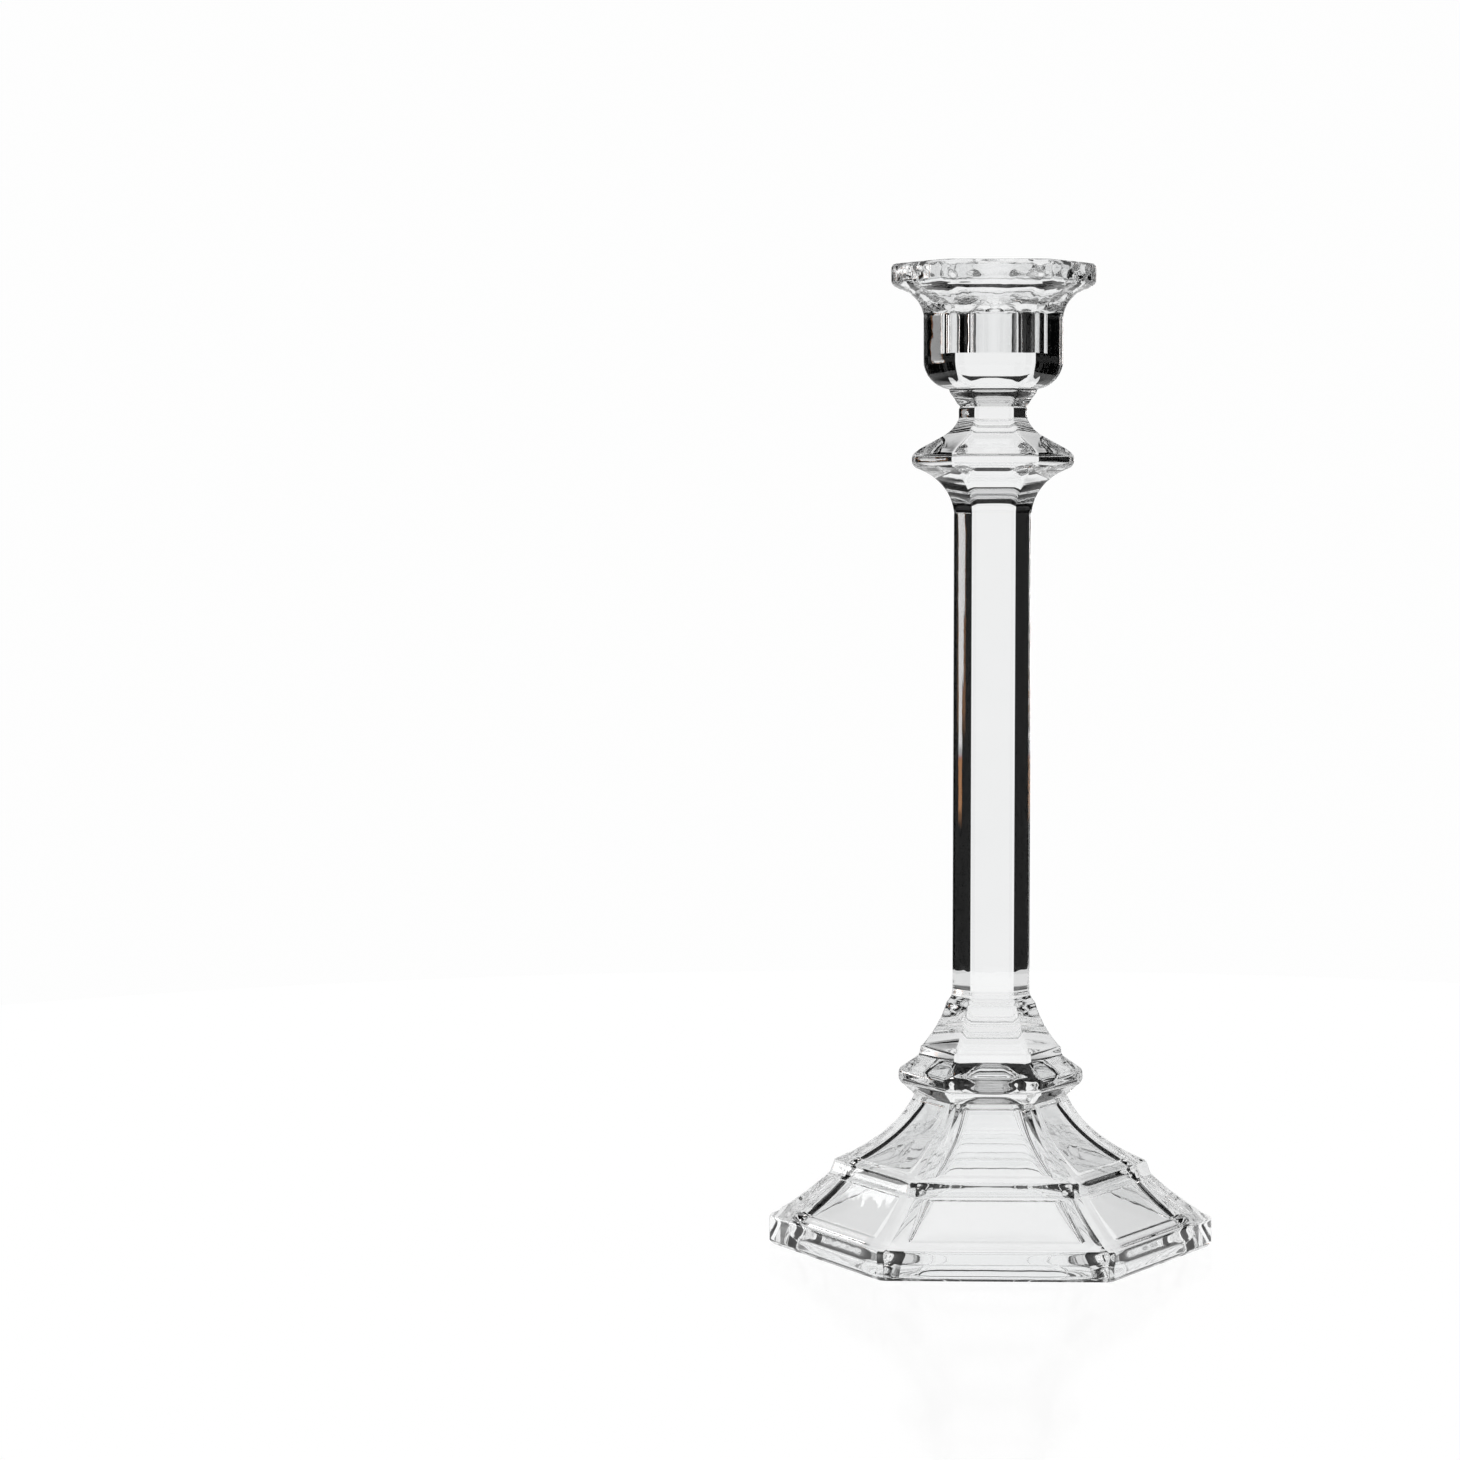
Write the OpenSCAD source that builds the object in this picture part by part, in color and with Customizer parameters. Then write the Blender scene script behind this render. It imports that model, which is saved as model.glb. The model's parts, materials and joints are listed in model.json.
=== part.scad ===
// Hexagonal pressed-glass candlestick.
// Five glass sections are stacked on one axis and butt-joined with four clear adhesive films.
// Millimetres, +Z up, origin at the middle of the underside. A flat face looks along -Y.
// A half width is measured across the corners, from the axis to a blunted corner.

/* [Foot] */
// Half width of the foot at its plinth
foot_r = 77.5; // [74:0.5:82]
// Height of the foot, from the table to the groove under the lower knop
foot_h = 53; // [50:0.5:56]
// Height of the straight plinth round the foot
plinth_h = 10.8; // [9:0.2:12]
// Height of the underside of the riser that divides the two sweeps
riser_z = 25.5; // [24:0.5:27]
// Height of the riser itself
riser_h = 4.5; // [3.5:0.5:5]
// Half width at the bottom of the riser
riser_r = 56.2; // [53:0.2:59]
// Half width of the foot at its top, in the groove
groove_r = 26.8; // [25:0.2:28]
// How deep the six pairs of window panels are pressed, measured level
panel_depth = 1.2; // [0.4:0.1:2]
// Width of the narrow facet that blunts each corner of the foot
rib_w = 2.6; // [1.6:0.2:3.6]
// Width of the raised frame beside each corner, at the axis end of a window panel
frame_w = 2; // [1.4:0.2:3]
// Width of the flat rim that the foot stands on
rim_w = 7.6; // [6:0.2:10]

/* [Lower knop] */
// Height of the lower knop section
lower_knop_h = 38; // [37:0.5:40]
// Half width of its ring
ring_r = 32.2; // [30.5:0.2:34]
// Half width of its cone at the top, just under the stem
cone_top_r = 15.8; // [15.2:0.1:16.6]
// Height of the closed top of the hollow, inside the ring of the lower knop, above the table
hollow_top = 62; // [61:0.5:63.5]

/* [Stem] */
// Height of the stem
stem_h = 165.2; // [120:0.2:200]
// Half width of the stem
stem_r = 13.45; // [12.8:0.05:13.6]

/* [Upper knop] */
// Height of the upper knop section
upper_knop_h = 36.6; // [35:0.2:39]
// Half width at its sharp middle
knop_r = 28.1; // [26:0.1:31]
// Half width of the neck under the candle cup
neck_r = 11.9; // [11:0.1:12.6]

/* [Candle cup] */
// Height of the candle cup section
cup_h = 49.4; // [47:0.2:54]
// Half width of the straight wall of the cup
cup_r = 24.2; // [23:0.2:26]
// Half width at the lip
lip_r = 35.5; // [34:0.5:37.5]
// Height of the edge of the lip
lip_h = 8; // [6.5:0.5:9]
// Radius of the candle bore
bore_r = 11.45; // [10.5:0.05:12]
// Length of the straight candle bore
bore_l = 14.3; // [12:0.1:16]
// Radius of the drip pan at its brim
pan_r = 27.5; // [26:0.5:28]

/* [Joints] */
// Thickness of each clear adhesive film
bond_t = 0.2; // [0.1:0.05:0.4]
// How far each film stays back from the outside of the glass
bond_inset = 0.05; // [0.05:0.05:0.5]

/* [Hidden] */

// Levels of the sections, counted up from the table
foot_bond_z = foot_h;
lower_knop_z = foot_bond_z + bond_t;
lower_stem_bond_z = lower_knop_z + lower_knop_h;
stem_z = lower_stem_bond_z + bond_t;
upper_stem_bond_z = stem_z + stem_h;
upper_knop_z = upper_stem_bond_z + bond_t;
cup_bond_z = upper_knop_z + upper_knop_h;
cup_z = cup_bond_z + bond_t;
brim_z = cup_z + cup_h;
bore_floor_z = brim_z - 31.2;
bore_mouth_z = bore_floor_z + bore_l;

// A blunt corner of a hexagon is cut back by its facet's width times this
facet_cut = 0.5 / tan(60);
rib_cut = rib_w * facet_cut;
stem_cut = 0.5;
cup_cut = 0.95;
plinth_bevel = 1.2;
plinth_round = 1.5;
riser_top_z = riser_z + riser_h;
riser_top_r = riser_r - 1.6;
rim_inner_a = (foot_r - plinth_bevel + rib_cut) * cos(30) - rim_w;
// Corners of the hollow are rounder than a plain hexagon, whose corner is 1.155 apothems out
hollow_corner = 1.10;
far = 200;
glass = [0.84, 0.90, 0.91, 0.5];
resin = [0.93, 0.95, 0.86, 0.7];

// Points of the arc from a to b, a left out. The arc bows by sag to the left of the way
// from a to b, which is towards the axis on an outline that climbs: a hollow sweep.
function arc(a, b, sag, n = 7) =
    let (chord = norm(b - a))
    let (r = (chord * chord / 4 + sag * sag) / (2 * abs(sag)))
    let (left = [a[1] - b[1], b[0] - a[0]] / chord * sign(sag))
    let (c = (a + b) / 2 - left * (r - abs(sag)))
    let (start = atan2(a[1] - c[1], a[0] - c[0]))
    let (turn = -sign(sag) * 2 * asin(min(1, chord / (2 * r))))
    [for (i = [1:n]) c + r * [cos(start + turn * i / n), sin(start + turn * i / n)]];

// Sag of a quarter-round of radius r
function quarter(r) = r * (1 - cos(45));

function but_last(points) = [for (i = [0:len(points) - 2]) points[i]];

// The lower and the upper sweep of the foot, from bottom to top
function lower_sweep() = concat(
    [[foot_r - plinth_round, plinth_h]],
    arc([foot_r - plinth_round, plinth_h], [riser_r, riser_z], 0.7));

function upper_sweep(waist = [groove_r + 10.9, riser_top_z + 9.6]) = concat(
    [[riser_top_r, riser_top_z]],
    arc([riser_top_r, riser_top_z], waist, 0.7, 5),
    arc(waist, [groove_r, foot_h], 1, 6));

function foot_outline() = concat(
    [[foot_r - plinth_bevel, 0], [foot_r, plinth_bevel], [foot_r, plinth_h - plinth_round]],
    but_last(arc([foot_r, plinth_h - plinth_round], [foot_r - plinth_round, plinth_h],
                 -quarter(plinth_round), 4)),
    lower_sweep(),
    upper_sweep());

function lower_knop_outline(z = lower_knop_z, top = lower_stem_bond_z) = concat(
    [[groove_r, z], [ring_r - 2, z + 3.2]],
    arc([ring_r - 2, z + 3.2], [ring_r, z + 5.7], -0.35, 4),
    arc([ring_r, z + 7.5], [ring_r - 0.9, z + 9.6], -0.3, 4),
    [[groove_r - 0.1, z + 12.7], [groove_r - 1.8, z + 14.1], [groove_r - 2.3, z + 16.8]],
    arc([groove_r - 2.3, z + 16.8], [cone_top_r, top - 6.4], 1, 8),
    [[cone_top_r - 0.2, top - 5.6], [cone_top_r - 1.3, top - 4.2], [stem_r + 0.25, top - 2.8],
     [stem_r, top - 0.6], [stem_r, top]]);

function stem_outline(z = stem_z, top = upper_stem_bond_z) =
    [[stem_r, z], [stem_r, top]];

function upper_knop_outline(z = upper_knop_z, top = cup_bond_z) = concat(
    [[stem_r, z]],
    arc([stem_r, z], [18.5, z + 10.5], 1, 8),
    arc([18.5, z + 10.5], [knop_r - 1.9, z + 15.3], 0.5, 4),
    arc([knop_r - 1.9, z + 15.3], [knop_r, z + 17.5], -0.4, 5),
    arc([knop_r, z + 18.4], [knop_r - 0.9, z + 20.8], -0.35, 4),
    [[knop_r - 2.9, z + 22.3], [neck_r + 5.1, z + 26.8]],
    arc([neck_r + 5.1, z + 26.8], [neck_r, z + 32.6], 0.65, 6),
    [[neck_r, top - 0.4], [neck_r - 0.4, top]]);

function cup_outline(z = cup_z, top = brim_z) = concat(
    [[neck_r - 0.4, z], [neck_r + 0.5, z + 0.9], [neck_r + 1.5, z + 2.7],
     [15, z + 4.8], [15.3, z + 6]],
    arc([15.3, z + 6], [cup_r, z + 15], -2.2, 9),
    arc([cup_r, top - 18], [lip_r - 2.6, top - lip_h - 0.7], 1.95, 9),
    arc([lip_r - 1.7, top - lip_h], [lip_r, top - lip_h + 2.6], -0.6, 5),
    arc([lip_r, top - 1.6], [lip_r - 1.6, top], -quarter(1.6), 4));

// The corners of the cup grow blunter from its bottom to its straight wall
function cup_cut_at(z) = stem_cut + (cup_cut - stem_cut) * min(1, max(0, (z - cup_z - 5) / 6));

// The hollow, pressed up from below, as apothems of a hexagon
function hollow_outline() = concat(
    [[rim_inner_a + 0.4, -1], [rim_inner_a - 1.6, 4]],
    arc([rim_inner_a - 1.6, 4], [41.3, 25.7], 0.8, 6),
    arc([41.3, 25.7], [17.5, foot_h - 1], 1.5, 8),
    arc([17.5, foot_h - 1], [0.5, hollow_top], -2.6, 9));

// Twelve points of a hexagon with blunt corners at height z. The faces are a apothem away from
// the axis, and the corner facets are r away.
function ring(a, r, z) =
    let (half_facet = (a / cos(30) - r) * tan(60))
    [for (k = [0:5], side = [-1, 1])
        [r * cos(60 * k) - side * half_facet * sin(60 * k),
         r * sin(60 * k) + side * half_facet * cos(60 * k), z]];

// A hexagonal solid through rings: faces at the given apothems, corners at the given half widths
module six_sided(faces, corners) {
    n = 12;
    top = len(faces) - 1;
    polyhedron(
        points = [for (i = [0:top]) each ring(faces[i][0], corners[i][0], faces[i][1])],
        faces = concat(
            [[for (k = [0:n - 1]) k]],
            [for (i = [0:top - 1], k = [0:n - 1])
                [i * n + k, (i + 1) * n + k, (i + 1) * n + (k + 1) % n, i * n + (k + 1) % n]],
            [[for (k = [n - 1:-1:0]) top * n + k]]));
}

// The same from one outline of half widths, with its sharp corners cut back by cut
module section(outline, cut) {
    six_sided([for (p = outline) [(p[0] + cut) * cos(30), p[1]]], outline);
}

module hollow() {
    faces = hollow_outline();
    six_sided(faces, [for (p = faces) [p[0] * hollow_corner, p[1]]]);
}

// One window panel on the -Y face: what lies outside the sunk sweep, between two ribs
module window(sweep, low, high) {
    sunk = [for (p = sweep) [(p[0] + rib_cut) * cos(30) - panel_depth, p[1]]];
    widening = 0.49;
    apex = frame_w / widening;
    intersection() {
        translate([0, 0, low])
            linear_extrude(height = high - low)
                polygon([[0, -apex], [widening * far, -apex - far], [-widening * far, -apex - far]]);
        rotate([0, 0, 180])
            rotate([90, 0, 90])
                linear_extrude(height = 2 * far, center = true)
                    polygon(concat([[far, foot_h + 1], [far, 0]], [[sunk[0][0], 0]], sunk,
                                   [[sunk[len(sunk) - 1][0], foot_h + 1]]));
    }
}

module foot() {
    color(glass)
        difference() {
            section(foot_outline(), rib_cut);
            hollow();
            for (turn = [0:60:300])
                rotate([0, 0, turn]) {
                    window(lower_sweep(), plinth_h + 1.6, riser_z - 1);
                    window(upper_sweep(), riser_top_z + 1.2, foot_h - 1.5);
                }
        }
}

module lower_knop() {
    color(glass)
        difference() {
            section(lower_knop_outline(), stem_cut);
            hollow();
        }
}

module stem() {
    color(glass) section(stem_outline(), stem_cut);
}

module upper_knop() {
    color(glass) section(upper_knop_outline(), stem_cut);
}

// Drip pan, candle bore and flat bore floor, turned about the axis
module well() {
    pan = arc([bore_r, bore_mouth_z], [pan_r, brim_z - 1.5], -2.6, 9);
    rotate_extrude($fn = 96)
        polygon(concat([[0, bore_floor_z], [bore_r, bore_floor_z], [bore_r, bore_mouth_z]], pan,
                       [[pan_r + 1.5, brim_z], [pan_r + 1.5, brim_z + 1], [0, brim_z + 1]]));
}

module candle_cup() {
    color(glass)
        difference() {
            six_sided([for (p = cup_outline()) [(p[0] + cup_cut_at(p[1])) * cos(30), p[1]]],
                      cup_outline());
            well();
        }
}

// A clear film of adhesive between two sections
module film(z, half_width, cut) {
    r = half_width - bond_inset;
    section([[r, z], [r, z + bond_t]], cut);
}

module foot_bond() {
    color(resin)
        difference() {
            film(foot_bond_z, groove_r, stem_cut);
            hollow();
        }
}

module lower_stem_bond() {
    color(resin) film(lower_stem_bond_z, stem_r, stem_cut);
}

module upper_stem_bond() {
    color(resin) film(upper_stem_bond_z, stem_r, stem_cut);
}

module cup_bond() {
    color(resin) film(cup_bond_z, neck_r - 0.4, stem_cut);
}

foot();
foot_bond();
lower_knop();
lower_stem_bond();
stem();
upper_stem_bond();
upper_knop();
cup_bond();
candle_cup();
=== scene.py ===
# The looks of a hexagonal pressed-glass candlestick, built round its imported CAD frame. Each glass
# section is one closed mesh of rings, swept up an outline and round a six-sided plan. Lengths in
# the outlines are millimetres, as on a drawing, and MM turns them into metres.

import json
import math

import bpy
import numpy as np
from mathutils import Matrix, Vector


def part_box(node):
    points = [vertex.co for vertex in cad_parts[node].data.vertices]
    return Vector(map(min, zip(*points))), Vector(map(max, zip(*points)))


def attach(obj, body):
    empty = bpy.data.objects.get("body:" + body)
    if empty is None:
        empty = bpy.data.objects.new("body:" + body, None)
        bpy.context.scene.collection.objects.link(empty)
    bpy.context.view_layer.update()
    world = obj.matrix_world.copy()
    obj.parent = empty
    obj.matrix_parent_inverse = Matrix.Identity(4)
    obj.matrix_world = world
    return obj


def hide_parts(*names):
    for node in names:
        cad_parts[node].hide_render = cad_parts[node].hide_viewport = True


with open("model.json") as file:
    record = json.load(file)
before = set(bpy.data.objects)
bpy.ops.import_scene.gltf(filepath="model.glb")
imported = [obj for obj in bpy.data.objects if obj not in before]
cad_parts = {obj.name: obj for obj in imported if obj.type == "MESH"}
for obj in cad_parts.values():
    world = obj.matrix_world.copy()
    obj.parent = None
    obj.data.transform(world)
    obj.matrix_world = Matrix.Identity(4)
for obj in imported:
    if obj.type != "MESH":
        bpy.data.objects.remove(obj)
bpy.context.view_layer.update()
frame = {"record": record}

MM = 0.001
COS30 = math.cos(math.radians(30))
SIN30 = 0.5

# ---------------------------------------------------------------- sizes, in millimetres


def low(node):
    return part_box(node)[0].z / MM


def high(node):
    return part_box(node)[1].z / MM


def half_width(node):
    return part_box(node)[1].x / MM


FOOT_R, FOOT_TOP = half_width("foot"), high("foot")
RING_R = half_width("lower_knop")
STEM_R = half_width("stem")
KNOP_R = half_width("upper_knop")
LIP_R, BRIM_Z = half_width("candle_cup"), high("candle_cup")

bore = next(m for m in frame["record"]["mounts"] if m["name"] == "candle_bore")
BORE_R = bore["dims"]["r_mm"]
BORE_L = bore["dims"]["length_mm"]
BORE_FLOOR = bore["pos_m"][2] / MM - BORE_L / 2

PLINTH_H, PLINTH_BEVEL, PLINTH_ROUND = 10.8, 1.2, 1.5
RISER_Z, RISER_H, RISER_R, RISER_LEAN = 25.5, 4.5, 56.2, 1.6
WAIST_OUT, WAIST_UP = 10.9, 9.6  # from the groove and from the riser's top
GROOVE_R, CONE_TOP_R, NECK_R, CUP_R = 26.8, 15.8, 11.9, 24.2
FLARE_R, BULGE_R = 18.5, 15.3  # halfway up the upper knop, and under the cup
LIP_H, LIP_ROUND = 8, 1.6
PAN_R, PAN_ROUND, PAN_SAG = 27.5, 1.5, 2.6
RIM_W, HOLLOW_WAIST, HOLLOW_NECK_R, HOLLOW_TOP = 7.6, (41.3, 25.7), 17.5, 62.0
FOOT_CUT, STEM_CUT, CUP_CUT = 0.75, 0.464, 0.93  # how far the corners are cut back
FOOT_EDGE, STEM_EDGE, CUP_EDGE = 1.6, 3.0, 6.0  # and their rounding
PANEL_DEPTH, PANEL_RAMP, FRAME_W, WIDENING = 1.2, 1.0, 2.0, 0.49  # the foot's sunk windows
CROWN = 0.10  # how far the middle of a flat face stands proud, from fire polish

FINE, MEDIUM, COARSE = 0.4, 0.8, 1.2  # distance between rings along an outline
SOFT = 0.35  # rounding of an outline's corners
SHARP = math.radians(40)  # folds above this are shaded as edges

# ---------------------------------------------------------------- outlines


def arc(a, b, sag, n=48):
    """Points of the arc from a to b, a left out. It bows by sag to the left of the way there."""
    a, b = np.array(a, float), np.array(b, float)
    chord = np.linalg.norm(b - a)
    r = (chord * chord / 4 + sag * sag) / (2 * abs(sag))
    left = np.array([a[1] - b[1], b[0] - a[0]]) / chord * np.sign(sag)
    c = (a + b) / 2 - left * (r - abs(sag))
    start = math.atan2(a[1] - c[1], a[0] - c[0])
    turn = -np.sign(sag) * 2 * math.asin(min(1, chord / (2 * r)))
    return [c + r * np.array([math.cos(start + turn * i / n), math.sin(start + turn * i / n)])
            for i in range(1, n + 1)]


def quarter(r):
    return r * (1 - math.cos(math.radians(45)))


def softened(points, step, soft):
    """The polyline resampled every step, its corners rounded over about soft. The ends stay."""
    p = np.array([np.array(q, float) for q in points])
    keep = np.r_[True, np.linalg.norm(np.diff(p, axis=0), axis=1) > 1e-6]
    p = p[keep]
    run = np.r_[0, np.cumsum(np.linalg.norm(np.diff(p, axis=0), axis=1))]
    n = max(int(round(run[-1] / step)), 4)
    s = np.linspace(0, run[-1], n + 1)
    q = np.stack([np.interp(s, run, p[:, k]) for k in (0, 1)], axis=1)
    if soft <= 0:
        return q
    reach = min(max(int(3 * soft / (run[-1] / n)), 1), n)
    weights = np.exp(-0.5 * (np.arange(-reach, reach + 1) * (run[-1] / n) / soft) ** 2)
    weights /= weights.sum()
    before = 2 * q[0] - q[reach:0:-1]
    after = 2 * q[-1] - q[-2:-reach - 2:-1]
    padded = np.concatenate([before, q, after])
    return np.stack([np.convolve(padded[:, k], weights, "valid") for k in (0, 1)], axis=1)


def foot_outline():
    inner = (FOOT_R - PLINTH_BEVEL + FOOT_CUT) * COS30 - RIM_W
    plinth = [[FOOT_R - PLINTH_BEVEL, 0], [FOOT_R, PLINTH_BEVEL], [FOOT_R, PLINTH_H - PLINTH_ROUND]]
    edge = arc([FOOT_R, PLINTH_H - PLINTH_ROUND], [FOOT_R - PLINTH_ROUND, PLINTH_H],
               -quarter(PLINTH_ROUND))
    low_sweep = arc([FOOT_R - PLINTH_ROUND, PLINTH_H], [RISER_R, RISER_Z], 0.7)
    riser_top = [RISER_R - RISER_LEAN, RISER_Z + RISER_H]
    waist = [GROOVE_R + WAIST_OUT, riser_top[1] + WAIST_UP]
    up_sweep = arc(riser_top, waist, 0.7) + arc(waist, [GROOVE_R, FOOT_TOP], 1)
    return inner, plinth + edge + low_sweep + [riser_top] + up_sweep


def hollow_outline(inner):
    wall = [[inner - 1.6, 4]]
    wall += arc(wall[-1], HOLLOW_WAIST, 0.8)
    wall += arc(wall[-1], [HOLLOW_NECK_R, FOOT_TOP - 1], 1.5)
    wall += arc(wall[-1], [0.5, HOLLOW_TOP], -2.6)
    return [[inner, 0]] + wall


def lower_knop_outline():
    z, top = low("lower_knop"), high("lower_knop")
    return ([[GROOVE_R, z], [RING_R - 2, z + 3.2]]
            + arc([RING_R - 2, z + 3.2], [RING_R, z + 5.7], -0.35)
            + arc([RING_R, z + 7.5], [RING_R - 0.9, z + 9.6], -0.3)
            + [[GROOVE_R - 0.1, z + 12.7], [GROOVE_R - 1.8, z + 14.1], [GROOVE_R - 2.3, z + 16.8]]
            + arc([GROOVE_R - 2.3, z + 16.8], [CONE_TOP_R, top - 6.4], 1)
            + [[CONE_TOP_R - 0.2, top - 5.6], [CONE_TOP_R - 1.3, top - 4.2],
               [STEM_R + 0.25, top - 2.8], [STEM_R, top - 0.6], [STEM_R, top]])


def stem_outline():
    return [[STEM_R, low("stem")], [STEM_R, high("stem")]]


def upper_knop_outline():
    z, top = low("upper_knop"), high("upper_knop")
    return ([[STEM_R, z]]
            + arc([STEM_R, z], [FLARE_R, z + 10.5], 1)
            + arc([FLARE_R, z + 10.5], [KNOP_R - 1.9, z + 15.3], 0.5)
            + arc([KNOP_R - 1.9, z + 15.3], [KNOP_R, z + 17.5], -0.4)
            + arc([KNOP_R, z + 18.4], [KNOP_R - 0.9, z + 20.8], -0.35)
            + [[KNOP_R - 2.9, z + 22.3], [NECK_R + 5.1, z + 26.8]]
            + arc([NECK_R + 5.1, z + 26.8], [NECK_R, z + 32.6], 0.65)
            + [[NECK_R, top - 0.4], [NECK_R - 0.4, top]])


def cup_outline():
    z, top, lip_z = low("candle_cup"), BRIM_Z, BRIM_Z - LIP_H
    return ([[NECK_R - 0.4, z], [NECK_R + 0.5, z + 0.9], [NECK_R + 1.5, z + 2.7],
             [BULGE_R - 0.3, z + 4.8], [BULGE_R, z + 6]]
            + arc([BULGE_R, z + 6], [CUP_R, z + 15], -2.2)
            + arc([CUP_R, top - 18], [LIP_R - 2.6, lip_z - 0.7], 1.95)
            + arc([LIP_R - 1.7, lip_z], [LIP_R, lip_z + 2.6], -0.6)
            + arc([LIP_R, top - LIP_ROUND], [LIP_R - LIP_ROUND, top], -quarter(LIP_ROUND)))


def well_outline():
    """From the brim inwards: over the lip, down the drip pan, the candle bore and its floor."""
    mouth = BORE_FLOOR + BORE_L
    brim = [[PAN_R + PAN_ROUND, BRIM_Z], [PAN_R, BRIM_Z - PAN_ROUND]]
    pan = arc(brim[-1], [BORE_R, mouth], PAN_SAG)
    return brim + pan, [[BORE_R, mouth], [BORE_R, BORE_FLOOR]]


INNER, FOOT_OUTER = foot_outline()
HOLLOW = softened(hollow_outline(INNER), MEDIUM, 0.6)

# ---------------------------------------------------------------- rings

STRIP, RAMP, PANEL, EDGE, FACET = 3, 5, 14, 4, 2  # columns across each part of a sixth
SECTOR = math.radians(30)  # from the middle of a face to its corner


def columns():
    """The columns of one sixth: what each belongs to, its side and how far across that it is."""
    out = [("strip", -1, i / STRIP) for i in range(STRIP)]
    out += [("ramp", -1, i / RAMP) for i in range(RAMP)]
    out += [("panel", 0, -1 + 2 * i / PANEL) for i in range(PANEL)]
    out += [("ramp", 1, 1 - i / RAMP) for i in range(RAMP)]
    out += [("strip", 1, 1 - i / STRIP) for i in range(STRIP)]
    out += [("edge", -1, i / EDGE) for i in range(EDGE)]
    out += [("facet", 0, i / FACET) for i in range(FACET)]
    out += [("edge", 1, i / EDGE) for i in range(EDGE)]
    return out


COLUMNS = columns()
PER_RING = 6 * len(COLUMNS)


def ring(r, z, cut, edge, panel_u=None, ramp=PANEL_RAMP, sunk=0.0, crown=0.0):
    """Points of one six-sided ring. r is half the width across its blunted corners, cut is how
    far they are cut back and edge rounds them. Panels as wide as 2 panel_u are sunk into it.
    The middles of the faces stand crown proud of their edges, as fire polish leaves them."""
    a = (r + cut) * COS30
    edge = min(edge, cut / (1 / COS30 - 1), a * 0.6)
    s = max(((r - edge) - (a - edge) * COS30) / SIN30, 1e-6)
    if panel_u is None:
        panel_u = 0.6 * s
    panel_u = min(panel_u, s)
    ramp = min(ramp, panel_u * 0.4)
    facet = max((a - edge) * SIN30 - s * COS30, 0)
    sector = []
    for kind, side, t in COLUMNS:
        if kind == "strip":
            sector.append((a, side * (s + (panel_u - s) * t)))
        elif kind == "ramp":
            ease = t * t * (3 - 2 * t)
            sector.append((a - sunk * ease, side * (panel_u - ramp * t)))
        elif kind == "panel":
            sector.append((a - sunk, t * (panel_u - ramp)))
        elif kind == "edge":
            turn = SECTOR * t if side < 0 else SECTOR + SECTOR * t
            centre = (a - edge, s)
            if side > 0:
                mirror = 2 * SECTOR
                centre = (centre[0] * math.cos(mirror) + centre[1] * math.sin(mirror),
                          centre[0] * math.sin(mirror) - centre[1] * math.cos(mirror))
            sector.append((centre[0] + edge * math.cos(turn), centre[1] + edge * math.sin(turn)))
        else:
            along = -facet + 2 * facet * t
            sector.append((r * math.cos(SECTOR) - along * math.sin(SECTOR),
                           r * math.sin(SECTOR) + along * math.cos(SECTOR)))
    sector = np.array(sector)
    face = np.array([kind in ("strip", "ramp", "panel") for kind, _, _ in COLUMNS])
    sector[face, 0] += crown * (1 - (sector[face, 1] / s) ** 2)
    rows = []
    for k in range(6):
        turn = math.radians(60 * k - 90)
        c, n = math.cos(turn), math.sin(turn)
        rows.append(np.stack([sector[:, 0] * c - sector[:, 1] * n,
                              sector[:, 0] * n + sector[:, 1] * c,
                              np.full(len(sector), z)], axis=1))
    return np.concatenate(rows)


PLAN_R = 30  # about the brim's size
HEXAGON = ring(PLAN_R, 0, STEM_CUT, STEM_EDGE)
BEARING = np.unwrap(np.arctan2(HEXAGON[:, 1], HEXAGON[:, 0]))
EVEN = BEARING.mean() + 2 * np.pi * (np.arange(PER_RING) - (PER_RING - 1) / 2) / PER_RING


def round_ring(r, z):
    """A circle. Its points stand like a hexagon's at the brim, and evenly around the bore."""
    brim_r = PAN_R + PAN_ROUND
    share = min(max((brim_r - r) / (brim_r - BORE_R), 0), 1)
    bearing = (1 - share) * BEARING + share * EVEN
    return np.stack([r * np.cos(bearing), r * np.sin(bearing), np.full(PER_RING, z)], axis=1)


def six_rings(outline, cut, edge, crown=0.0):
    return [ring(r, z, cut, edge, crown=crown * min(r / STEM_R, 1.5)) for r, z in outline]


def window(z, bottom, top, ease=0.5):
    """1 inside a window's height, 0 outside, smooth over ease at each end."""
    def step(x):
        x = min(max(x, 0.0), 1.0)
        return x * x * (3 - 2 * x)
    return step((z - bottom) / ease) * step((top - z) / ease)


def foot_rings(outline):
    rings = []
    for r, z in outline:
        a = (r + FOOT_CUT) * COS30
        depth = PANEL_DEPTH * max(window(z, PLINTH_H + 1.6, RISER_Z - 1),
                                  window(z, RISER_Z + RISER_H + 1.2, FOOT_TOP - 1.5))
        rings.append(ring(r, z, FOOT_CUT, FOOT_EDGE, WIDENING * a - FRAME_W, PANEL_RAMP, depth))
    return rings


# ---------------------------------------------------------------- meshes


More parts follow.
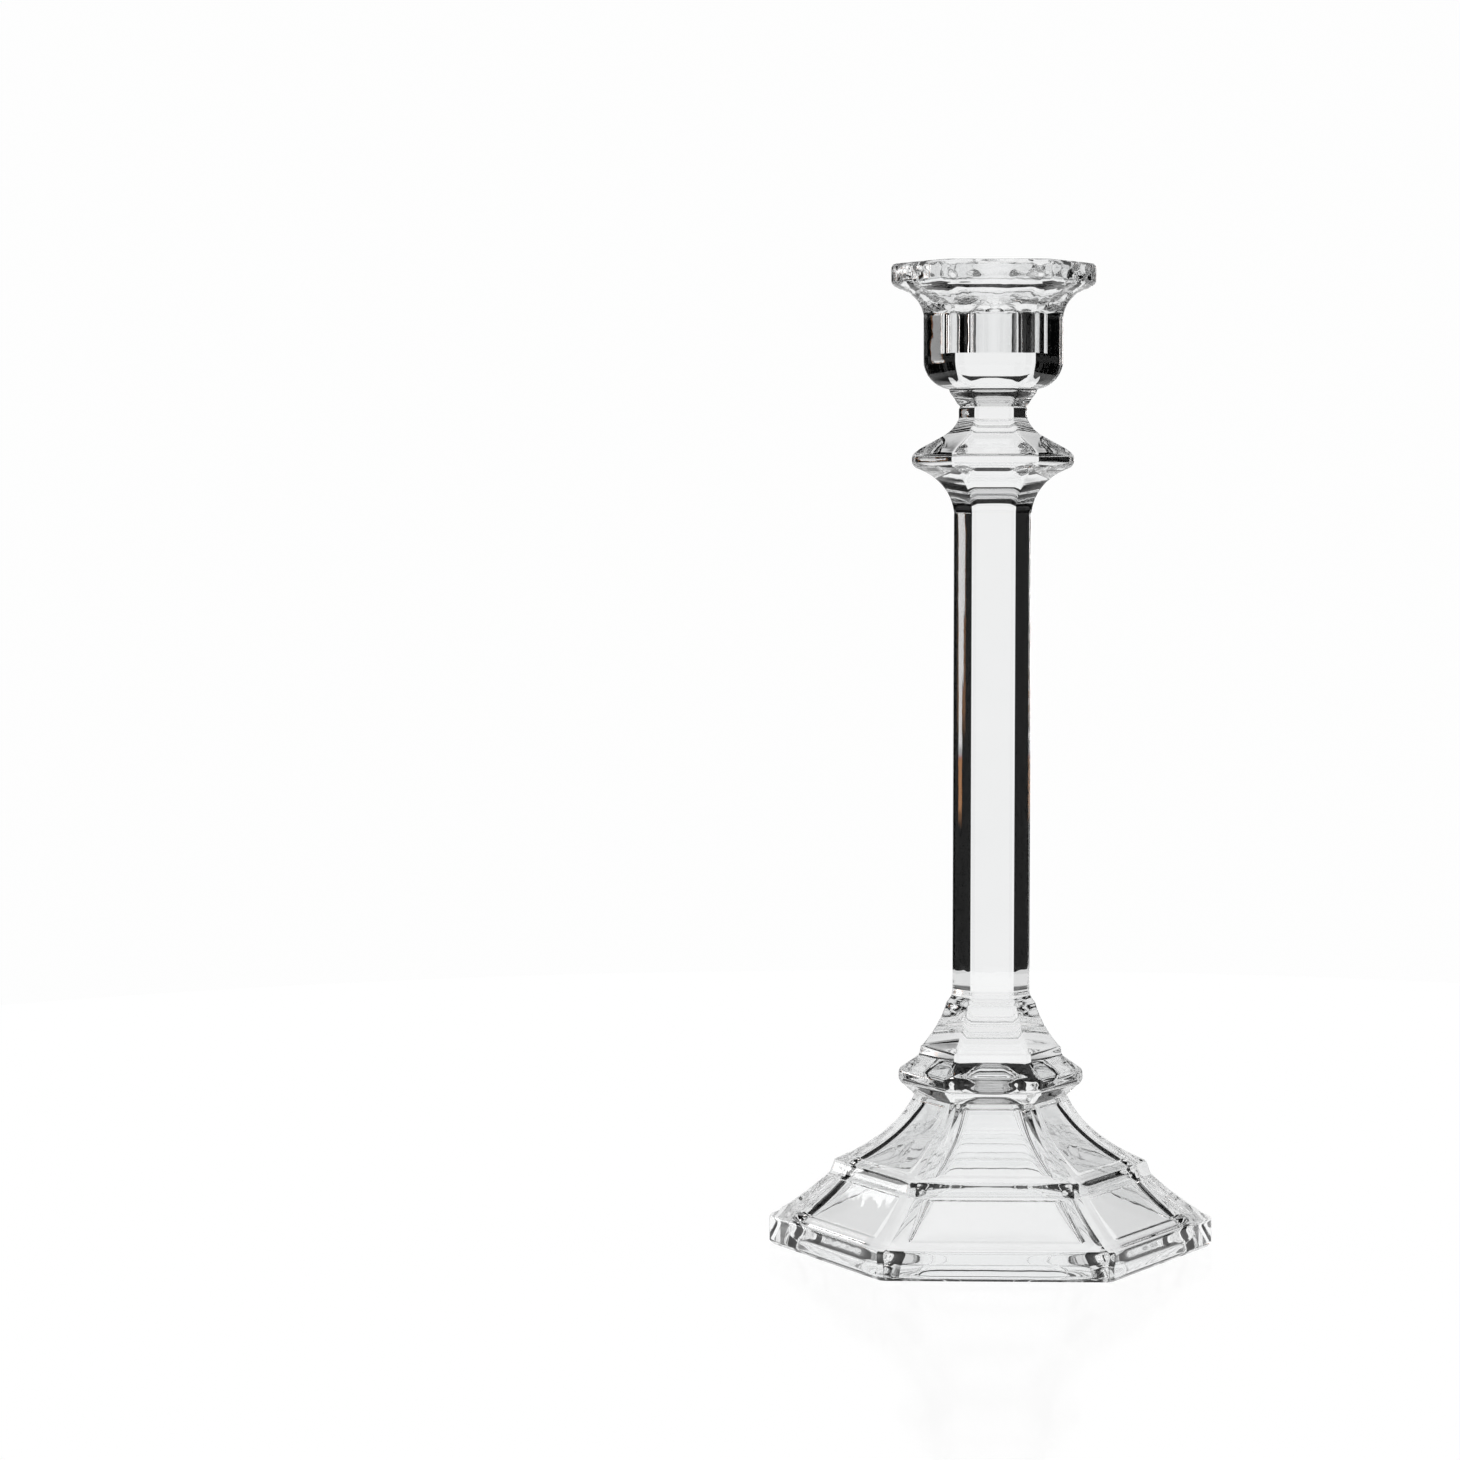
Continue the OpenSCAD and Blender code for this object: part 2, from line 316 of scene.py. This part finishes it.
def solid(name, parts, slots):
    """One closed mesh from parts: (rings, material index, smooth). A part of one point is a pole.
    Neighbouring parts join, and the last joins the first unless both ends are poles."""
    verts, faces, looks = [], [], []
    starts = []
    for rings, slot, smooth in parts:
        for row in rings:
            starts.append((len(verts), len(row), slot, smooth))
            verts.extend((row * MM).tolist())
    closed = starts[0][1] == 1 and starts[-1][1] == 1
    pairs = list(zip(starts, starts[1:])) + ([] if closed else [(starts[-1], starts[0])])
    for (i0, n0, _, _), (i1, n1, slot, smooth) in pairs:
        for k in range(PER_RING):
            j = (k + 1) % PER_RING
            if n0 == 1:
                faces.append((i0, i1 + j, i1 + k))
            elif n1 == 1:
                faces.append((i0 + k, i0 + j, i1))
            else:
                faces.append((i0 + k, i0 + j, i1 + j, i1 + k))
            looks.append((slot, smooth))
    mesh = bpy.data.meshes.new(name)
    mesh.from_pydata(verts, [], faces)
    mesh.polygons.foreach_set("material_index", [s for s, _ in looks])
    mesh.polygons.foreach_set("use_smooth", [s for _, s in looks])
    for material in slots:
        mesh.materials.append(material)
    mesh.update()
    mesh.set_sharp_from_angle(angle=SHARP)
    obj = bpy.data.objects.new(name, mesh)
    bpy.context.collection.objects.link(obj)
    return obj


def pole(z):
    return [np.array([[0.0, 0.0, z]])]


GLASS, SEAM = 0, 1  # the material slots of every piece
APART = 0.2  # the least height between the hollow's end ring and the next


def hollow_ring(a, z):
    """A ring of the pressed hollow, a from the axis to its faces, with broadly rounded corners."""
    r = a * 1.10
    return ring(r, z, a / COS30 - r, 100)


def hollow_cut(z):
    """The hollow's ring at exactly the height z."""
    return hollow_ring(float(np.interp(z, HOLLOW[:, 1], HOLLOW[:, 0])), z)


def build_foot(slots):
    rings = foot_rings(softened(FOOT_OUTER, 0.45, SOFT))
    hollow = [hollow_ring(a, z) for a, z in HOLLOW if z <= FOOT_TOP - APART]
    hollow.append(hollow_cut(FOOT_TOP))
    return solid("foot_glass", [(hollow[:1], GLASS, True), (rings[:1], GLASS, False),
                                (rings[1:], GLASS, True), (hollow[-1:], SEAM, False),
                                (hollow[-2:0:-1], GLASS, True)], slots)


def build_lower_knop(slots):
    z = low("lower_knop")
    hollow = [hollow_cut(z)] + [hollow_ring(a, h) for a, h in HOLLOW if h > z + APART]
    outer = six_rings(softened(lower_knop_outline(), FINE, SOFT), STEM_CUT, STEM_EDGE, CROWN)
    return solid("lower_knop_glass",
                 [(pole(HOLLOW_TOP), GLASS, True), (hollow[:0:-1], GLASS, True),
                  (hollow[:1], GLASS, True), (outer[:1], SEAM, False), (outer[1:], GLASS, True),
                  (pole(high("lower_knop")), SEAM, False)], slots)


def build_bar(name, outline, step, soft, slots):
    outer = six_rings(softened(outline, step, soft), STEM_CUT, STEM_EDGE, CROWN)
    return solid(name, [(pole(outline[0][1]), SEAM, False), (outer[:1], SEAM, False),
                        (outer[1:], GLASS, True), (pole(outline[-1][1]), SEAM, False)], slots)


def cup_corner(z):
    """How far the corners of the cup are cut back and rounded: most on its straight wall."""
    share = window(z, low("candle_cup") + 5, BRIM_Z + 20, 6)
    return STEM_CUT + (CUP_CUT - STEM_CUT) * share, STEM_EDGE + (CUP_EDGE - STEM_EDGE) * share


def build_cup(slots):
    z = low("candle_cup")
    outer = [ring(r, h, *cup_corner(h), crown=2 * CROWN)
             for r, h in softened(cup_outline(), FINE, SOFT)]
    pan, wall = well_outline()
    pan = [round_ring(r, h) for r, h in softened(pan, 0.5, 0.4)]
    wall = [round_ring(r, h) for r, h in softened(wall, COARSE, 0)]
    return solid("candle_cup_glass",
                 [(pole(z), SEAM, False), (outer[:1], SEAM, False), (outer[1:], GLASS, True),
                  (pan, GLASS, True), (wall[1:], GLASS, True),
                  (pole(BORE_FLOOR), GLASS, False)], slots)


def build_film(node, slots, hollow=False):
    """A bond's film of adhesive: a thin slice, or a collar round the hollow."""
    z0, z1, r = low(node), high(node), half_width(node)
    sides = six_rings([[r, z0], [r, z1]], STEM_CUT, STEM_EDGE)
    if hollow:
        inner = [hollow_cut(z1), hollow_cut(z0)]
        return solid(node + "_film", [(sides[:1], SEAM, False), (sides[1:], GLASS, False),
                                      (inner[:1], SEAM, False), (inner[1:], GLASS, False)], slots)
    return solid(node + "_film", [(pole(z0), SEAM, False), (sides[:1], SEAM, False),
                                  (sides[1:], GLASS, False), (pole(z1), SEAM, False)], slots)


# ---------------------------------------------------------------- materials

# Where the waves in the surface grow: calm at the first height in metres, and at full share from
# the second on. The foot, the upper knop and the lip.
WAVES = (0.100, 0.080, 0.05), (0.246, 0.256, 0.10), (0.322, 0.334, 1.0)
CALM = 0.014  # their share on the stem
WAVE_SCALE, WAVE_DETAIL = 260, 0.5
TINT_SCALE, TINT_DETAIL = 40, 2


def new_material(name):
    material = bpy.data.materials.new(name)
    material.use_nodes = True
    tree = material.node_tree
    tree.nodes.clear()
    out = tree.nodes.new("ShaderNodeOutputMaterial")
    return material, tree, out


def clear_glass(name, thin, thick, ior, wave):
    """Clear and smooth, with a faint uneven tint and the waves that pressing and fire polish
    leave. wave is their greatest height in metres, at the lip; the stem has far lower ones."""
    material, tree, out = new_material(name)
    place = tree.nodes.new("ShaderNodeTexCoord").outputs["Object"]

    def noise(scale, detail):
        node = tree.nodes.new("ShaderNodeTexNoise")
        node.inputs["Scale"].default_value = scale
        node.inputs["Detail"].default_value = detail
        tree.links.new(place, node.inputs["Vector"])
        return node.outputs["Fac"]

    tint = tree.nodes.new("ShaderNodeValToRGB")
    tint.color_ramp.elements[0].position, tint.color_ramp.elements[0].color = 0.3, (*thin, 1)
    tint.color_ramp.elements[1].position, tint.color_ramp.elements[1].color = 0.7, (*thick, 1)
    tree.links.new(noise(TINT_SCALE, TINT_DETAIL), tint.inputs["Fac"])

    height = tree.nodes.new("ShaderNodeSeparateXYZ")
    tree.links.new(place, height.inputs[0])
    liveliest = None
    for calm, lively, strength in WAVES:
        share = tree.nodes.new("ShaderNodeMapRange")
        share.interpolation_type = "SMOOTHSTEP"
        share.inputs["From Min"].default_value = calm
        share.inputs["From Max"].default_value = lively
        share.inputs["To Min"].default_value = CALM
        share.inputs["To Max"].default_value = strength
        tree.links.new(height.outputs["Z"], share.inputs["Value"])
        if liveliest is None:
            liveliest = share.outputs[0]
            continue
        more = tree.nodes.new("ShaderNodeMath")
        more.operation = "MAXIMUM"
        tree.links.new(liveliest, more.inputs[0])
        tree.links.new(share.outputs[0], more.inputs[1])
        liveliest = more.outputs[0]
    bump = tree.nodes.new("ShaderNodeBump")
    bump.inputs["Distance"].default_value = wave
    tree.links.new(liveliest, bump.inputs["Strength"])
    tree.links.new(noise(WAVE_SCALE, WAVE_DETAIL), bump.inputs["Height"])

    shader = tree.nodes.new("ShaderNodeBsdfPrincipled")
    shader.inputs["Transmission Weight"].default_value = 1.0
    shader.inputs["IOR"].default_value = ior
    shader.inputs["Roughness"].default_value = 0.0
    tree.links.new(tint.outputs[0], shader.inputs["Base Color"])
    tree.links.new(bump.outputs[0], shader.inputs["Normal"])
    tree.links.new(shader.outputs[0], out.inputs["Surface"])
    return material


def joined_face(name):
    """The face where two sections are bonded: the glass runs on through it."""
    material, tree, out = new_material(name)
    shader = tree.nodes.new("ShaderNodeBsdfTransparent")
    tree.links.new(shader.outputs[0], out.inputs["Surface"])
    return material


glass = clear_glass("clear_pressed_glass", (0.970, 0.973, 0.975), (0.950, 0.957, 0.958),
                    ior=1.52, wave=3.0e-4)
resin = clear_glass("clear_cured_adhesive", (0.965, 0.965, 0.95), (0.955, 0.955, 0.93),
                    ior=1.50, wave=5e-5)
seam = joined_face("bonded_face")

# ---------------------------------------------------------------- the pieces

pieces = {
    "foot": build_foot([glass, seam]),
    "lower_knop": build_lower_knop([glass, seam]),
    "stem": build_bar("stem_glass", stem_outline(), COARSE, 0.3, [glass, seam]),
    "upper_knop": build_bar("upper_knop_glass", upper_knop_outline(), FINE, SOFT, [glass, seam]),
    "candle_cup": build_cup([glass, seam]),
    "foot_bond": build_film("foot_bond", [resin, seam], hollow=True),
    "lower_stem_bond": build_film("lower_stem_bond", [resin, seam]),
    "upper_stem_bond": build_film("upper_stem_bond", [resin, seam]),
    "cup_bond": build_film("cup_bond", [resin, seam]),
}
for node, piece in pieces.items():
    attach(piece, "root")
    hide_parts(node)

# ---------------------------------------------------------------- camera, floor and light

SENSOR_W, LENS = 36, 98.6301  # millimetres: a mild telephoto
CAMERA_PLACE = (-0.0437, -1.3952, 0.2656)
TILT_DOWN, TURN_LEFT = math.radians(3.472), math.radians(1.958)
FLOOR_R = 0.80
FLOOR_LIT, FLOOR_LIT_SEEN = 0.90, 0.93  # its painted glow, standing in for the light falling on it: through the glass, to the camera
FLOOR_DIM, FLOOR_DIM_FAR = 0.80, 0.15  # painted shade: how much darker the glass sees it between the panels
DIM_FROM, DIM_FULL, DIM_EASES, DIM_FAR = 0.20, 0.35, 0.50, 0.62  # how far out the painted shade starts, is full, eases and is least, in metres
DIM_EDGE = 4  # degrees over which the painted shade fades at a panel's edge
FLOOR_MATT, FLOOR_SHEEN, FLOOR_ROUGH = 0.10, 0.05, 0.08
ROOM, BACKDROP = 0.002, 0.99  # the studio's unlit walls, and the plain backdrop

WHITE, WARM = (1, 1, 1), (1, 0.52, 0.25)
BACK, RIGHT, LEFT, CAMERA_SIDE = (0, 31), (90, 17), (-92, 17), (180, 28)
PANELS = [  # azimuth, half width, bottom, top, strength, tint, softness; angles in degrees
    (*BACK, -100, 22, 0.93, WHITE, 1),
    (*RIGHT, -100, 30, 0.8, WHITE, 1.5),
    (*LEFT, -100, 30, 0.8, WHITE, 1.5),
    (*CAMERA_SIDE, -100, 30, 0.7, WHITE, 3),
    (0, 400, 62, 100, 0.7, WHITE, 3),  # overhead, all round
    # the narrow softbox to the left, tapering downwards: first its warm edges, then its cloth
    (-60.4, 1.0, -4.7, -2.5, 4.0, WARM, 0.4),
    (-60.9, 2.3, -3.4, 1, 2.0, WARM, 0.6),
    (-59.9, 2.0, 0.8, 9, 2.0, WARM, 0.6),
    (-60.4, 1.0, -3.8, -2.4, 7.0, WHITE, 0.4),
    (-60.7, 1.5, -2.8, -1.4, 7.0, WHITE, 0.4),
    (-60.9, 1.9, -1.8, 1.2, 7.0, WHITE, 0.4),
    (-59.9, 1.6, 0.8, 9, 3.6, WHITE, 0.6),
]


def calc(operation, *values):
    """A maths node of the tree in hand, on sockets and numbers."""
    node = tree.nodes.new("ShaderNodeMath")
    node.operation = operation
    for slot, value in zip(node.inputs, values):
        if isinstance(value, (int, float)):
            slot.default_value = value
        else:
            tree.links.new(value, slot)
    return node.outputs[0]


def ease(value, start, end):
    """0 where value is at start, 1 at end, smooth between."""
    node = tree.nodes.new("ShaderNodeMapRange")
    node.interpolation_type = "SMOOTHSTEP"
    tree.links.new(value, node.inputs["Value"])
    node.inputs["From Min"].default_value = start
    node.inputs["From Max"].default_value = end
    return node.outputs["Result"]


def aside(place, azimuth):
    """Degrees between this azimuth, clockwise from +Y, and that of a place or direction."""
    turn = tree.nodes.new("ShaderNodeVectorRotate")
    turn.rotation_type = "Z_AXIS"
    turn.inputs["Angle"].default_value = math.radians(azimuth)
    tree.links.new(place, turn.inputs["Vector"])
    split = tree.nodes.new("ShaderNodeSeparateXYZ")
    tree.links.new(turn.outputs[0], split.inputs[0])
    return calc("ABSOLUTE", calc("DEGREES",
                                 calc("ARCTAN2", split.outputs["X"], split.outputs["Y"])))


scene = bpy.context.scene
camera = bpy.data.objects.new("camera", bpy.data.cameras.new("camera"))
bpy.context.collection.objects.link(camera)
camera.data.sensor_width = SENSOR_W
camera.data.lens = LENS
camera.location = CAMERA_PLACE
camera.rotation_euler = (math.radians(90) - TILT_DOWN, 0, TURN_LEFT)
scene.camera = camera

mesh = bpy.data.meshes.new("floor")
rim = [(FLOOR_R * math.cos(math.radians(t)), FLOOR_R * math.sin(math.radians(t)), 0)
       for t in range(0, 360, 5)]
mesh.from_pydata(rim, [], [tuple(range(len(rim)))])
floor = bpy.data.objects.new("floor", mesh)
bpy.context.collection.objects.link(floor)
# The floor glows though it is no lamp: its glow is painted light in place of the light falling on
# it, a little brighter to the camera. Seen through the glass it also carries painted shade, darker
# in the directions between the panels, and darkest at middle distances.
material, tree, out = new_material("floor_painted_glow_and_shade")
painted_glow = tree.nodes.new("ShaderNodeEmission")
painted_glow.inputs["Color"].default_value = (1, 1, 1, 1)
seen = tree.nodes.new("ShaderNodeMapRange")
spot = tree.nodes.new("ShaderNodeTexCoord").outputs["Object"]
length = tree.nodes.new("ShaderNodeVectorMath")
length.operation = "LENGTH"
tree.links.new(spot, length.inputs[0])
away = length.outputs["Value"]
beam = 0.0
for azimuth, half in (BACK, RIGHT, LEFT, CAMERA_SIDE):
    beam = calc("MAXIMUM", beam,
                ease(aside(spot, azimuth), half + DIM_EDGE, half - DIM_EDGE))
recover = calc("MULTIPLY", ease(away, DIM_EASES, DIM_FAR), FLOOR_DIM - FLOOR_DIM_FAR)
dim = calc("MULTIPLY", ease(away, DIM_FROM, DIM_FULL), calc("SUBTRACT", FLOOR_DIM, recover))
shade = calc("MULTIPLY", dim, calc("SUBTRACT", 1.0, beam))
tree.links.new(calc("SUBTRACT", FLOOR_LIT, shade), seen.inputs["To Min"])
seen.inputs["To Max"].default_value = FLOOR_LIT_SEEN
path = tree.nodes.new("ShaderNodeLightPath")
tree.links.new(path.outputs["Is Camera Ray"], seen.inputs["Value"])
tree.links.new(seen.outputs[0], painted_glow.inputs["Strength"])
matt = tree.nodes.new("ShaderNodeBsdfDiffuse")
matt.inputs["Color"].default_value = (FLOOR_MATT,) * 3 + (1,)
sheen = tree.nodes.new("ShaderNodeBsdfGlossy")
sheen.inputs["Color"].default_value = (FLOOR_SHEEN,) * 3 + (1,)
sheen.inputs["Roughness"].default_value = FLOOR_ROUGH
both = tree.nodes.new("ShaderNodeAddShader")
total = tree.nodes.new("ShaderNodeAddShader")
tree.links.new(matt.outputs[0], both.inputs[0])
tree.links.new(sheen.outputs[0], both.inputs[1])
tree.links.new(both.outputs[0], total.inputs[0])
tree.links.new(painted_glow.outputs[0], total.inputs[1])
tree.links.new(total.outputs[0], out.inputs["Surface"])
mesh.materials.append(material)

world = bpy.data.worlds.new("studio")
scene.world = world
world.use_nodes = True
tree = world.node_tree
tree.nodes.clear()

towards = tree.nodes.new("ShaderNodeTexCoord").outputs["Generated"]
axes = tree.nodes.new("ShaderNodeSeparateXYZ")
tree.links.new(towards, axes.inputs[0])
climb = calc("DEGREES", calc("ARCSINE", axes.outputs["Z"]))


def panel(azimuth, half, bottom, top, strength, soft):
    """A soft white panel far away, centred azimuth degrees clockwise from +Y."""
    shape = calc("MULTIPLY", ease(aside(towards, azimuth), half + soft / 2, half - soft / 2),
                 calc("MULTIPLY", ease(climb, bottom - soft / 2, bottom + soft / 2),
                      ease(climb, top + soft / 2, top - soft / 2)))
    return calc("MULTIPLY", shape, strength)


channels = [ROOM] * 3
for azimuth, half, bottom, top, strength, tint, soft in PANELS:
    level = panel(azimuth, half, bottom, top, strength, soft)
    channels = [calc("MAXIMUM", c, calc("MULTIPLY", level, t)) for c, t in zip(channels, tint)]
first = tree.nodes.new("ShaderNodeLightPath").outputs["Is Camera Ray"]
colour = tree.nodes.new("ShaderNodeCombineColor")
for channel, slot in zip(channels, colour.inputs):
    plain = calc("MULTIPLY", first, BACKDROP)
    other = calc("MULTIPLY", calc("SUBTRACT", 1.0, first), channel)
    tree.links.new(calc("ADD", plain, other), slot)
background = tree.nodes.new("ShaderNodeBackground")
tree.links.new(colour.outputs[0], background.inputs["Color"])
tree.links.new(background.outputs[0], tree.nodes.new("ShaderNodeOutputWorld").inputs["Surface"])

scene.view_settings.view_transform = "Standard"
scene.view_settings.gamma = 0.85  # the deeper shadows of a product photograph
DEEP, SHALLOW = 32, 16  # light crosses the thick glass many times
scene.cycles.max_bounces = DEEP
scene.cycles.transmission_bounces = DEEP
scene.cycles.transparent_max_bounces = DEEP
scene.cycles.glossy_bounces = SHALLOW
